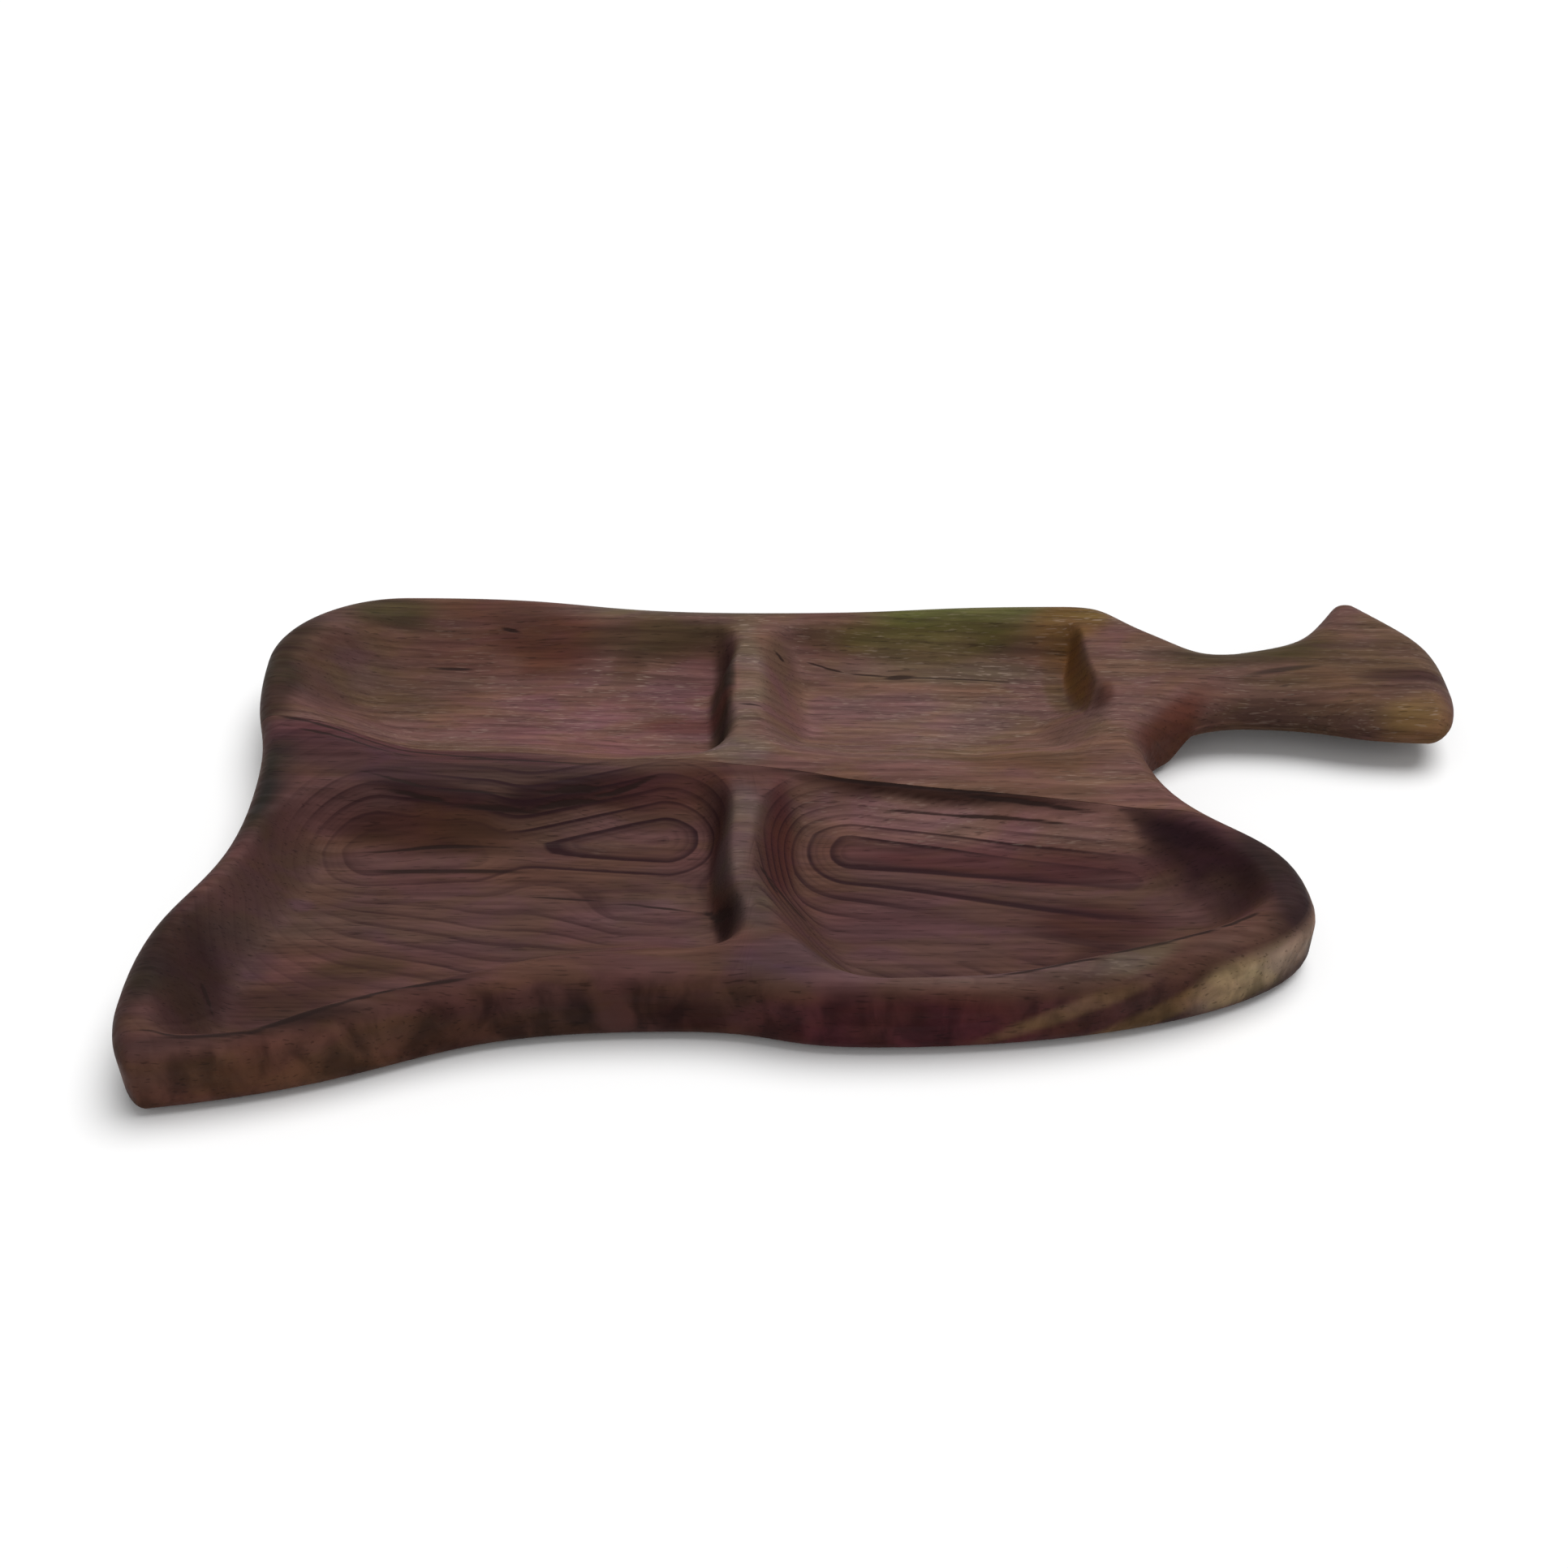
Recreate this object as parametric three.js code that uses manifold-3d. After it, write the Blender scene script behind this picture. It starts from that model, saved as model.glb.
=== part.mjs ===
// Carved walnut appetizer dish: four hollows parted by a lengthwise ridge and two cross dividers,
// with a flared handle. The blank is two boards, edge-glued under the ridge.
// Millimetres, +Z up, +X towards the handle, +Y towards the rear edge.
import * as THREE from "three";
import { mergeVertices } from "three/addons/utils/BufferGeometryUtils.js";
import Module from "manifold-3d";

// Heights and edges
const slabThickness = 30; // table to rim
const handleThickness = 21; // its underside is relieved for the fingers
const hollowDepth = 17; // rim to hollow floor
const edgeRound = 6; // roll of the body's outer edges
const handleRound = 9; // the handle's edges roll further in
const tipRound = 4; // and less far at the tips of the flare

// Reach of the lobes and waists in plan, from the crossing of the ridge and the dividers
const rearLeftReach = 189;
const rearLeftDepth = 110;
const frontLeftReach = 200;
const frontLeftDepth = 141;
const frontRightReach = 192;
const frontRightDepth = 115;
const shoulderReach = 127;
const shoulderDepth = 103;
const armpitReach = 143;
const leftWaist = 178;
const rearWaist = 98;
const frontWaist = 108;

// Handle, along and across its own axis, from the middle of the neck
const neckReach = 191;
const neckOffset = 58;
const handleAngle = 10;
const neckWidth = 33;
const flareWidth = 77;
const flareReach = 59;
const handleEnd = 77;
const reliefReach = 164; // where the underside starts to climb to the handle
const reliefHeading = 25; // that climb's direction in plan, clear of the front right lobe
const reliefSlope = 40;

// Walls left standing round the hollows
const rimWidth = 12;
const frontRimWidth = 10;
const rearDividerWidth = 17;
const frontDividerWidth = 13;
const rearLeftRidge = -3; // where each hollow ends on the ridge, across from the crossing
const rearRightRidge = -12;
const frontLeftRidge = -1.5;
const frontRightRidge = -5;

// Glued joint
const jointAngle = -9.4; // its line in plan, through the crossing
const glueLine = 0.3;

// Curves
const spanFullness = 0.55; // a quarter ellipse
const spanSteps = 8; // chords in a span of an outline
const roundSteps = 4; // chords in a quarter round
const wallSteps = 7; // chords from a hollow's edge to its floor
const lipSlope = 0.3; // steepness at a hollow's edge, before the wall drops
const lipShare = 0.12; // how far a hollow's cutter runs on outside that edge

const wasm = await Module();
wasm.setup();

const turned = (degrees) => {
  const angle = THREE.MathUtils.degToRad(degrees);
  return new THREE.Vector2(Math.cos(angle), Math.sin(angle));
};

// A node of an outline: its place, the outline's heading there and how far the inner outline lies inside.
// Outlines run anticlockwise, so the inside is to the left of the heading.
const node = (x, y, heading, inset) => ({ place: new THREE.Vector2(x, y), heading, inset });

function handleNode(reach, side, heading, inset) {
  const place = new THREE.Vector2(neckReach, neckOffset);
  place.addScaledVector(turned(handleAngle), reach);
  place.addScaledVector(turned(handleAngle + 90), side);
  return node(place.x, place.y, handleAngle + heading, inset);
}

// Nodes in shares of a hollow's own cell, the room between the rim, the ridge and a divider.
function cellNodes(left, right, front, rear, nodes) {
  return nodes.map(([x, y, heading, run]) => {
    const place = [THREE.MathUtils.lerp(left, right, x), THREE.MathUtils.lerp(front, rear, y)];
    return node(...place, heading, run);
  });
}

// Smooth closed outline through the nodes, each moved inwards by a share of its inset.
function planOutline(nodes, share) {
  const moved = nodes.map(({ place, heading, inset }) => ({
    place: place.clone().addScaledVector(turned(heading + 90), share * inset),
    along: turned(heading),
  }));
  const shape = new THREE.Shape().moveTo(moved[0].place.x, moved[0].place.y);
  moved.forEach((from, i) => {
    const to = moved[(i + 1) % moved.length];
    const step = to.place.clone().sub(from.place);
    const leave = spanFullness * Math.abs(step.dot(from.along));
    const arrive = spanFullness * Math.abs(step.dot(to.along));
    const first = from.place.clone().addScaledVector(from.along, leave);
    const second = to.place.clone().addScaledVector(to.along, -arrive);
    shape.bezierCurveTo(first.x, first.y, second.x, second.y, to.place.x, to.place.y);
  });
  return shape.getPoints(spanSteps).slice(0, -1);
}

function solidOf(geometry) {
  const vertProperties = new Float32Array(geometry.getAttribute("position").array);
  const triVerts = new Uint32Array(geometry.getIndex().array);
  return new wasm.Manifold(new wasm.Mesh({ numProp: 3, vertProperties, triVerts }));
}

// Closed solid through the outlines of a list of [share, height], lowest first.
function loft(nodes, rings) {
  const outlines = rings.map(([share]) => planOutline(nodes, share));
  const count = outlines[0].length;
  const positions = rings.flatMap(([, z], k) => outlines[k].flatMap(({ x, y }) => [x, y, z]));
  const faces = THREE.ShapeUtils.triangulateShape(outlines[0], []).flatMap(([a, b, c]) => [a, c, b]);
  for (let k = 0; k + 1 < rings.length; k++) {
    for (let i = 0; i < count; i++) {
      const here = k * count + i;
      const next = k * count + ((i + 1) % count);
      faces.push(here, next, next + count, here, next + count, here + count);
    }
  }
  const last = (rings.length - 1) * count;
  const lid = THREE.ShapeUtils.triangulateShape(outlines[rings.length - 1], []).flat();
  faces.push(...lid.map((i) => i + last));
  const geometry = new THREE.BufferGeometry();
  geometry.setAttribute("position", new THREE.Float32BufferAttribute(positions, 3));
  geometry.setIndex(faces);
  return solidOf(geometry);
}

// Everything on the side of a plane that its normal points to.
function halfSpace(point, normal) {
  const size = 3 * (frontLeftReach + neckReach);
  const box = new THREE.BoxGeometry(size, size, size);
  box.deleteAttribute("normal");
  box.deleteAttribute("uv");
  box.translate(0, 0, size / 2);
  box.applyQuaternion(new THREE.Quaternion().setFromUnitVectors(new THREE.Vector3(0, 0, 1), normal));
  box.translate(point.x, point.y, point.z);
  return solidOf(mergeVertices(box));
}

const steps = (count) => Array.from({ length: count + 1 }, (_, k) => k / count);

// Body and handle share one outline, from the left waist round by the front.
const dishNodes = [
  node(-leftWaist, -13, -90, edgeRound),
  node(-frontLeftReach, -0.82 * frontLeftDepth, -89, edgeRound),
  node(-0.95 * frontLeftReach, -frontLeftDepth, 8, edgeRound),
  node(-0.12 * frontLeftReach, -frontWaist, 0, edgeRound),
  node(0.23 * frontRightReach, -frontRightDepth, 0, edgeRound),
  node(frontRightReach, -0.61 * frontRightDepth, 91, edgeRound),
  node(armpitReach, 11, 98, edgeRound),
  handleNode(-3, -neckWidth / 2, -10, handleRound),
  handleNode(flareReach + 5, 2 - flareWidth / 2, -12, tipRound),
  handleNode(handleEnd, -0.27 * flareWidth, 78, edgeRound),
  handleNode(flareReach + 1, flareWidth / 2 - 4, 122, tipRound),
  handleNode(flareReach - 6.5, flareWidth / 2 - 2.5, 224, tipRound),
  handleNode(5, neckWidth / 2, 182, handleRound),
  node((shoulderReach + neckReach) / 2 + 2, shoulderDepth - 19.5, 144, edgeRound),
  node(shoulderReach, shoulderDepth, 180, edgeRound),
  node(5, rearWaist, 180, edgeRound),
  node(-0.74 * rearLeftReach, rearLeftDepth, 180, edgeRound),
  node(-rearLeftReach, 0.64 * rearLeftDepth, -90, edgeRound),
];

// Slab of that outline with rolled edges, from the given height up to the rim.
function slab(base) {
  const roll = steps(roundSteps).map((t) => turned(90 * t));
  const under = roll.map(({ x, y }) => [1 - y, base + (1 - x) * edgeRound]);
  const over = roll.map(({ x, y }) => [1 - x, slabThickness - (1 - y) * edgeRound]);
  return loft(dishNodes, [...under, ...over]);
}

// Cutter of one hollow: a flat floor and walls that roll over at the edge and cove into the floor.
function hollow(nodes) {
  const drop = (t) => THREE.MathUtils.lerp(t * t * (3 - 2 * t), t * (2 - t), lipSlope / 2);
  const walls = steps(wallSteps).map((t) => [t, slabThickness - hollowDepth * drop(t)]);
  const lip = slabThickness + hollowDepth * lipSlope * lipShare;
  return loft(nodes, [...walls.reverse(), [-lipShare, lip], [-lipShare, slabThickness + hollowDepth]]);
}

const rearLeft = cellNodes(
  rimWidth - rearLeftReach,
  -rearDividerWidth / 2,
  rearLeftRidge,
  rearLeftDepth - rimWidth,
  [
    [0, 0.64, -90, 22],
    [0.1, 0.27, -45, 30],
    [0.52, 0, -2, 48],
    [0.91, 0.07, 15, 28],
    [0.99, 0.34, 90, 13],
    [1, 0.76, 90, 10],
    [0.93, 0.89, 175, 14],
    [0.69, 0.945, 174, 20],
    [0.25, 1, 180, 22],
  ],
);

const rearRight = cellNodes(
  rearDividerWidth / 2,
  armpitReach - rimWidth,
  rearRightRidge,
  shoulderDepth - rimWidth,
  [
    [0, 0.72, -90, 16],
    [0.01, 0.41, -85, 18],
    [0.14, 0.15, -15, 34],
    [0.5, 0.06, -9, 48],
    [0.81, 0, -5, 34],
    [0.99, 0.35, 86, 16],
    [1, 0.8, 90, 12],
    [0.92, 0.97, 178, 14],
    [0.5, 1, 180, 20],
    [0.11, 0.965, 184, 20],
  ],
);

const frontLeft = cellNodes(
  rimWidth - frontLeftReach,
  -frontDividerWidth / 2,
  frontRimWidth - frontLeftDepth,
  frontLeftRidge,
  [
    [0, 0.21, -90, 14],
    [0.09, 0, 5, 13],
    [0.43, 0.155, 14, 14],
    [0.87, 0.27, 3, 13],
    [0.98, 0.36, 85, 10],
    [1, 0.7, 90, 10],
    [0.985, 0.9, 95, 12],
    [0.9, 1, 178, 14],
    [0.55, 0.91, 184, 16],
    [0.26, 0.92, 178, 18],
    [0.12, 0.78, 262, 20],
  ],
);

const frontRight = cellNodes(
  frontDividerWidth / 2,
  frontRightReach - rimWidth,
  frontRimWidth - frontRightDepth,
  frontRightRidge,
  [
    [0, 0.71, -88, 18],
    [0.045, 0.31, -65, 20],
    [0.26, 0, 2, 14],
    [0.74, 0.14, 14, 14],
    [1, 0.35, 95, 20],
    [0.85, 0.67, 135, 26],
    [0.665, 0.82, 176, 20],
    [0.31, 0.955, 171, 14],
    [0.11, 1, 177, 14],
  ],
);

// The full slab stops on a slope under the handle, where the thinner one runs on.
const climb = turned(reliefHeading);
const slope = turned(reliefSlope);
const climbStart = new THREE.Vector3(climb.x, climb.y, 0).multiplyScalar(reliefReach);
const climbNormal = new THREE.Vector3(-slope.y * climb.x, -slope.y * climb.y, slope.x);
const body = slab(0).intersect(halfSpace(climbStart, climbNormal));
const blank = body.add(slab(slabThickness - handleThickness));
const dish = [rearLeft, rearRight, frontLeft, frontRight].reduce(
  (wood, nodes) => wood.subtract(hollow(nodes)),
  blank,
);

// One glued board: the dish's wood on one side of the joint.
function board(name, side, color) {
  const across = turned(jointAngle + 90).multiplyScalar(side);
  const normal = new THREE.Vector3(across.x, across.y, 0);
  const face = normal.clone().multiplyScalar(glueLine / 2);
  const { vertProperties, triVerts } = dish.intersect(halfSpace(face, normal)).getMesh();
  const geometry = new THREE.BufferGeometry();
  geometry.setAttribute("position", new THREE.BufferAttribute(vertProperties, 3));
  geometry.setIndex(new THREE.BufferAttribute(triVerts, 1));
  geometry.computeVertexNormals();
  const material = new THREE.MeshStandardMaterial({ color, roughness: 0.6, metalness: 0 });
  const mesh = new THREE.Mesh(geometry, material);
  mesh.name = name;
  return mesh;
}

const group = new THREE.Group();
group.name = "appetizer_dish";
group.add(board("rear_board", 1, 0x6b4c40), board("front_board", -1, 0x543832));
const { min, max } = dish.boundingBox();
group.position.set(-(min[0] + max[0]) / 2, -(min[1] + max[1]) / 2, 0);

export default group;
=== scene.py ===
# Carved walnut appetizer dish: two edge-glued boards with four hollows and a flared handle.
import math

import bmesh
import bpy
import numpy as np
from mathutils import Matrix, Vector


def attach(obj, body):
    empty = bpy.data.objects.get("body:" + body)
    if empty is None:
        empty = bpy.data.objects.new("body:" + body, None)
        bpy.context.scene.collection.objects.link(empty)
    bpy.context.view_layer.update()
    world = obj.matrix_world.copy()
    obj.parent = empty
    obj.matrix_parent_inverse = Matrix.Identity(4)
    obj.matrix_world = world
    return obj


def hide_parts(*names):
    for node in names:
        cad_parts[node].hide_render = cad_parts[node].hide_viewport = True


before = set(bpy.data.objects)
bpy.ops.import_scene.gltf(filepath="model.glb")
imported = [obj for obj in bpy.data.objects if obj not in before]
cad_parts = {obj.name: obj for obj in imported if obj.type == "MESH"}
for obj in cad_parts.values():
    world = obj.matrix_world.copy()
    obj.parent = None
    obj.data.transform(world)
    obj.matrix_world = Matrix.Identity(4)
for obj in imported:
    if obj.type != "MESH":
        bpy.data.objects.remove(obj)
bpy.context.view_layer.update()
print("frame loaded, nodes:", sorted(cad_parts))

perMetre = 1000  # the plans of the dish and its wood are in mm

# Plan of the dish from the crossing of the ridge and the dividers. A node holds its place, the
# outline's heading there in degrees, and how far in and how far down the rounded edge reaches.
# Nodes run anticlockwise from the left waist.
nodeColumns = {"heading": 2, "run": 3, "drop": 4, "cove": 4}  # a hollow's nodes end in the cove
dishPlan = {
    "crossing": (-35.25, 15.5),  # where the crossing lies in the row frame
    "thickness": 30.0,
    "fullness": 0.55,  # 0.55 makes a quarter turn an ellipse
    "footRound": 7.0,  # rounding of the lower edge
    "frontNodes": [
        (-179, -13, -90, 8, 8), (-201.4, -115.6, -88, 9, 9), (-190, -140.6, 8, 9, 9),
        (-24, -107.5, 0, 9, 9), (44, -114.5, 0, 10, 10), (194, -67, 90, 12, 12),
        (147.5, 11.5, 100, 10, 12),
    ],
    "rearNodes": [
        (163, 86, 145, 10, 10), (127, 105.7, 180, 8, 8), (5, 101.3, 180, 8, 8),
        (-140, 112, 180, 8, 8), (-190, 70.4, -89, 8, 8),
    ],
}

# The handle, along and across its own axis from the middle of the neck.
handlePlan = {
    "neck": (191, 58),
    "turn": 10,
    "nodes": [
        (-3, -16, -11, 17, 15), (64, -36.7, -12, 18, 15), (78.5, -21, 79, 16, 13),
        (62.5, 36.5, 123, 8, 9), (51.5, 38.5, 224, 7, 9), (4, 19.3, 180, 16, 12),
    ],
    "lift": 9.0,  # its underside is cut away for the fingers
    "liftStart": 159.0,
    "liftRun": 13.0,
    "liftHeading": 25,
    "footRound": 8.0,
}

# The hollows: the room each one has, left, right, front and rear, and the nodes of its edge in
# shares of that room, with the heading, the run of the wall from the edge to the floor, and how
# coved the wall is.
hollowPlan = {
    "depth": 17.0,
    "covePower": 2.4,
    "edgeRound": 0.1,
    "margin": 8,  # round a hollow's nodes, where its carving is worked out
    "rearLeft": {
        "room": (-177, -6, -3, 98),
        "nodes": [
            (0, 0.64, -90, 34, 0.7), (0.1, 0.27, -45, 34, 0.3), (0.52, 0, -2, 48, 0),
            (0.9, 0.06, 12, 30, 0.1), (1, 0.28, 92, 6, 0.2), (0.977, 0.55, 92, 5, 0.2),
            (1, 0.78, 86, 5, 0.2), (0.95, 0.9, 172, 16, 0.8), (0.69, 0.945, 174, 30, 0.8),
            (0.25, 1, 180, 36, 0.8),
        ],
    },
    "rearRight": {
        "room": (4.5, 133, -12, 94),
        "nodes": [
            (0, 0.72, -90, 18, 0.4), (0, 0.41, -86, 22, 0.3), (0.12, 0.15, -20, 38, 0.1),
            (0.5, 0.06, -9, 48, 0), (0.8, 0.09, 12, 46, 0), (1.02, 0.36, 82, 34, 0.2),
            (1.01, 0.56, 97, 10, 0.5), (0.985, 0.78, 92, 7, 0.6), (0.98, 0.9, 92, 6, 0.6),
            (0.925, 0.957, 178, 16, 0.8), (0.5, 1, 180, 32, 0.8), (0.1, 0.95, 186, 26, 0.8),
        ],
    },
    "frontLeft": {
        "room": (-191, -6, -131, -1.5),
        "nodes": [
            (0, 0.21, -90, 26, 0.25), (0.07, 0, 0, 12, 0.5), (0.43, 0.15, 15, 13, 0.5),
            (0.86, 0.265, 2, 26, 0.2), (1.027, 0.37, 84, 9, 0.3), (1, 0.61, 94, 6, 0.3),
            (1, 0.86, 92, 8, 0.3), (0.91, 1, 178, 24, 0.8), (0.55, 0.9, 186, 26, 0.8),
            (0.27, 0.93, 176, 26, 0.8), (0.115, 0.78, 262, 22, 0.6),
        ],
    },
    "frontRight": {
        "room": (3, 177, -107, -5),
        "nodes": [
            (0, 0.71, -90, 18, 0.5), (0.03, 0.34, -68, 22, 0.4), (0.26, 0, 2, 15, 0.5),
            (0.72, 0.14, 16, 11, 0.5), (1, 0.42, 97, 20, 0.6), (0.9, 0.7, 132, 28, 0.7),
            (0.67, 0.845, 172, 26, 0.85), (0.31, 0.955, 171, 24, 0.85), (0.1, 1, 180, 20, 0.8),
        ],
    },
}

# The mesh is a ring round the dish: each column runs from a spine under it, out to the edge, over
# the edge and in to a spine on top. Ribs tie the front and rear outlines, in nodes, to the spines.
meshPlan = {
    "frontRibs": (0, 2, 3, 4, 5, 6, 7, 8, 9),
    "rearRibs": (18, 16.45, 15.2, 14.63, 14.22, 13.3, 12, 10.5, 9),
    "spine": [
        (-112, -4), (-100, -6), (-24, -3), (48, -2), (95, 4), (128, 40), (190, 58), (240, 66),
        (252, 64),
    ],
    "columns": (100, 120, 50, 115, 66, 42, 55, 45),
    "underRows": 12,
    "rollRows": 8,
    "rollInset": 5.0,  # mm of the rounded edge that its own rows cover
    "wallRows": 5,
    "topRows": 78,
    "edgeSteps": 20,  # chords between two nodes when distances to an edge are taken
    "lengthSteps": 600,  # points along a stretch of outline when its length is taken
    "sanding": 2,
}

# The glued joint between the boards, a line through the crossing.
jointPlan = {"angle": -9.4, "film": 0.16}


# Unit vectors at angles in degrees from x.
def turned(degrees):
    angle = np.radians(np.asarray(degrees, float))
    return np.stack([np.cos(angle), np.sin(angle)], -1)


# Smooth step from 0 to 1: three times t squared less twice t cubed.
def smooth(t):
    t = np.clip(t, 0, 1)
    return t * t * (3 - 2 * t)


# All nodes of the outline, with the handle's own turned into place.
def dishNodes():
    along, across = turned(handlePlan["turn"]), turned(handlePlan["turn"] + 90)
    spots = np.array(handlePlan["nodes"], float)
    spots[:, :2] = np.array(handlePlan["neck"]) + spots[:, :1] * along + spots[:, 1:2] * across
    spots[:, nodeColumns["heading"]] += handlePlan["turn"]
    return np.vstack([dishPlan["frontNodes"], spots, dishPlan["rearNodes"]])


# A hollow's nodes, from shares of its room to places.
def hollowNodes(name):
    left, right, front, rear = hollowPlan[name]["room"]
    nodes = np.array(hollowPlan[name]["nodes"], float)
    nodes[:, 0] = left + (right - left) * nodes[:, 0]
    nodes[:, 1] = front + (rear - front) * nodes[:, 1]
    return nodes


# A point of an outline: a cubic between two nodes, whose handles lie on the nodes' headings and are
# as long as a share of the step between them. Each node is first moved inwards by the inset.
def outlineAt(nodes, inset, at):
    heading = nodes[:, nodeColumns["heading"]]
    along = turned(heading)
    place = nodes[:, :2] + np.multiply.outer(np.atleast_1d(inset), turned(heading + 90))
    i = np.floor(at).astype(int) % len(nodes)
    j = (i + 1) % len(nodes)
    t = (at - np.floor(at))[:, None]
    start, end = place[..., i, :], place[..., j, :]
    leave = np.abs(((end - start) * along[i]).sum(-1, keepdims=True)) * dishPlan["fullness"]
    arrive = np.abs(((end - start) * along[j]).sum(-1, keepdims=True)) * dishPlan["fullness"]
    near, far = start + leave * along[i], end - arrive * along[j]
    point = (1 - t) ** 3 * start + 3 * t * (1 - t) ** 2 * near
    point = point + 3 * t * t * (1 - t) * far + t ** 3 * end
    return point if np.ndim(inset) else point[0]


# A node value carried along the outline, straight from node to node.
def valueAt(nodes, name, at):
    values = nodes[:, nodeColumns[name]]
    return np.interp(at, np.arange(len(nodes) + 1), np.append(values, values[0]))


# Places on an outline between two of its nodes, the same length of edge apart.
def evenSteps(nodes, first, last, count):
    fine = np.linspace(first, last, meshPlan["lengthSteps"])
    points = outlineAt(nodes, 0, fine)
    length = np.concatenate([[0], np.cumsum(np.linalg.norm(np.diff(points, axis=0), axis=1))])
    return np.interp(np.linspace(0, length[-1], count + 1)[:-1], length, fine)


# How far inside an outline each point lies, in runs of the edge nearest to it: 0 on the edge, 1 a
# full run inside, negative outside. The second result is that nearest place, in nodes.
def insideShare(points, nodes):
    chord = 1 / meshPlan["edgeSteps"]
    at = np.arange(0, len(nodes), chord)
    edge = outlineAt(nodes, 0, at)
    runs = valueAt(nodes, "run", at)
    share, place = np.full(len(points), np.inf), np.zeros(len(points))
    inside = np.zeros(len(points), bool)
    for start, end, first, run in zip(edge, np.roll(edge, -1, 0), at, runs):
        step = end - start
        reach = np.clip(((points - start) @ step) / (step @ step), 0, 1)
        gap = np.linalg.norm(points - start - reach[:, None] * step, axis=1) / run
        nearer = gap < share
        share = np.where(nearer, gap, share)
        place = np.where(nearer, first + reach * chord, place)
        passed = (start[1] > points[:, 1]) != (end[1] > points[:, 1])
        across, up = points[:, 0] - start[0], points[:, 1] - start[1]
        leftOf = across * abs(step[1]) < up * step[0] * np.sign(step[1])
        inside ^= passed & leftOf
    return np.where(inside, share, -share), place


# Depth of the carving. A wall is a blend of a smooth step and a cove, which drops steeply at the
# edge and runs out into the floor, both over the share inside the edge, with the edge rounded.
def carvedDepth(points):
    depth = np.zeros(len(points))
    for name in ("rearLeft", "rearRight", "frontLeft", "frontRight"):
        nodes = hollowNodes(name)
        low = nodes[:, :2].min(0) - hollowPlan["margin"]
        high = nodes[:, :2].max(0) + hollowPlan["margin"]
        near = np.where(((points > low) & (points < high)).all(1))[0]
        share, place = insideShare(points[near], nodes)
        soft = hollowPlan["edgeRound"]
        t = np.where(np.abs(share) < soft, (share + soft) ** 2 / (4 * soft), np.clip(share, 0, 1))
        cove = 1 - (1 - t) ** hollowPlan["covePower"]
        wall = smooth(t) + (cove - smooth(t)) * valueAt(nodes, "cove", place)
        depth[near] += hollowPlan["depth"] * wall
    return depth


# Unevenness of the top. A wave holds its length to a radian, along x, y or both, and its start.
wavePlan = {
    "longHeight": 0.22,
    "longX": (31, 0.7),
    "longY": (23, 0.4),
    "shortHeight": 0.1,
    "short": [(13, -17, 0), (19, 11, 2)],
    "below": 0.4,  # how far it lies below the plan
    "fadeIn": 3,  # widths of the rounded edge over which it fades in
}


# Slow unevenness that hand carving and sanding leave: a product of two long waves and a sum of two
# short ones.
def handWave(points):
    x, y = points[..., 0], points[..., 1]
    (xLength, xStart), (yLength, yStart) = wavePlan["longX"], wavePlan["longY"]
    long = np.sin(x / xLength + xStart) * np.sin(y / yLength + yStart)
    short = sum(np.sin(x / across + y / up + start) for across, up, start in wavePlan["short"])
    return wavePlan["longHeight"] * long + wavePlan["shortHeight"] * short


# How far the handle's underside is lifted, from 0 before a slanted line by the neck to 1 past it.
def liftShare(points):
    reach = points @ turned(handlePlan["liftHeading"]) - handlePlan["liftStart"]
    return smooth(reach / handlePlan["liftRun"])


# Fall of a rounded edge: a quarter ellipse over the share inside the outline.
def roundedFall(share):
    return 1 - np.sqrt(1 - (1 - np.clip(share, 0, 1)) ** 2)


# Sandpaper: each depth moves towards the mean of its neighbours, along the rows and across them.
def sanded(depth):
    columns = depth.shape[1]
    facing = (columns - np.arange(columns)) % columns
    for _ in range(meshPlan["sanding"]):
        depth = (np.roll(depth, 1, 1) + 2 * depth + np.roll(depth, -1, 1)) / 4
        outer = np.vstack([depth[:1], depth[:-1]])
        inner = np.vstack([depth[1:], depth[-2:-1, facing]])
        depth = (outer + 2 * depth + inner) / 4
    return depth


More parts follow.
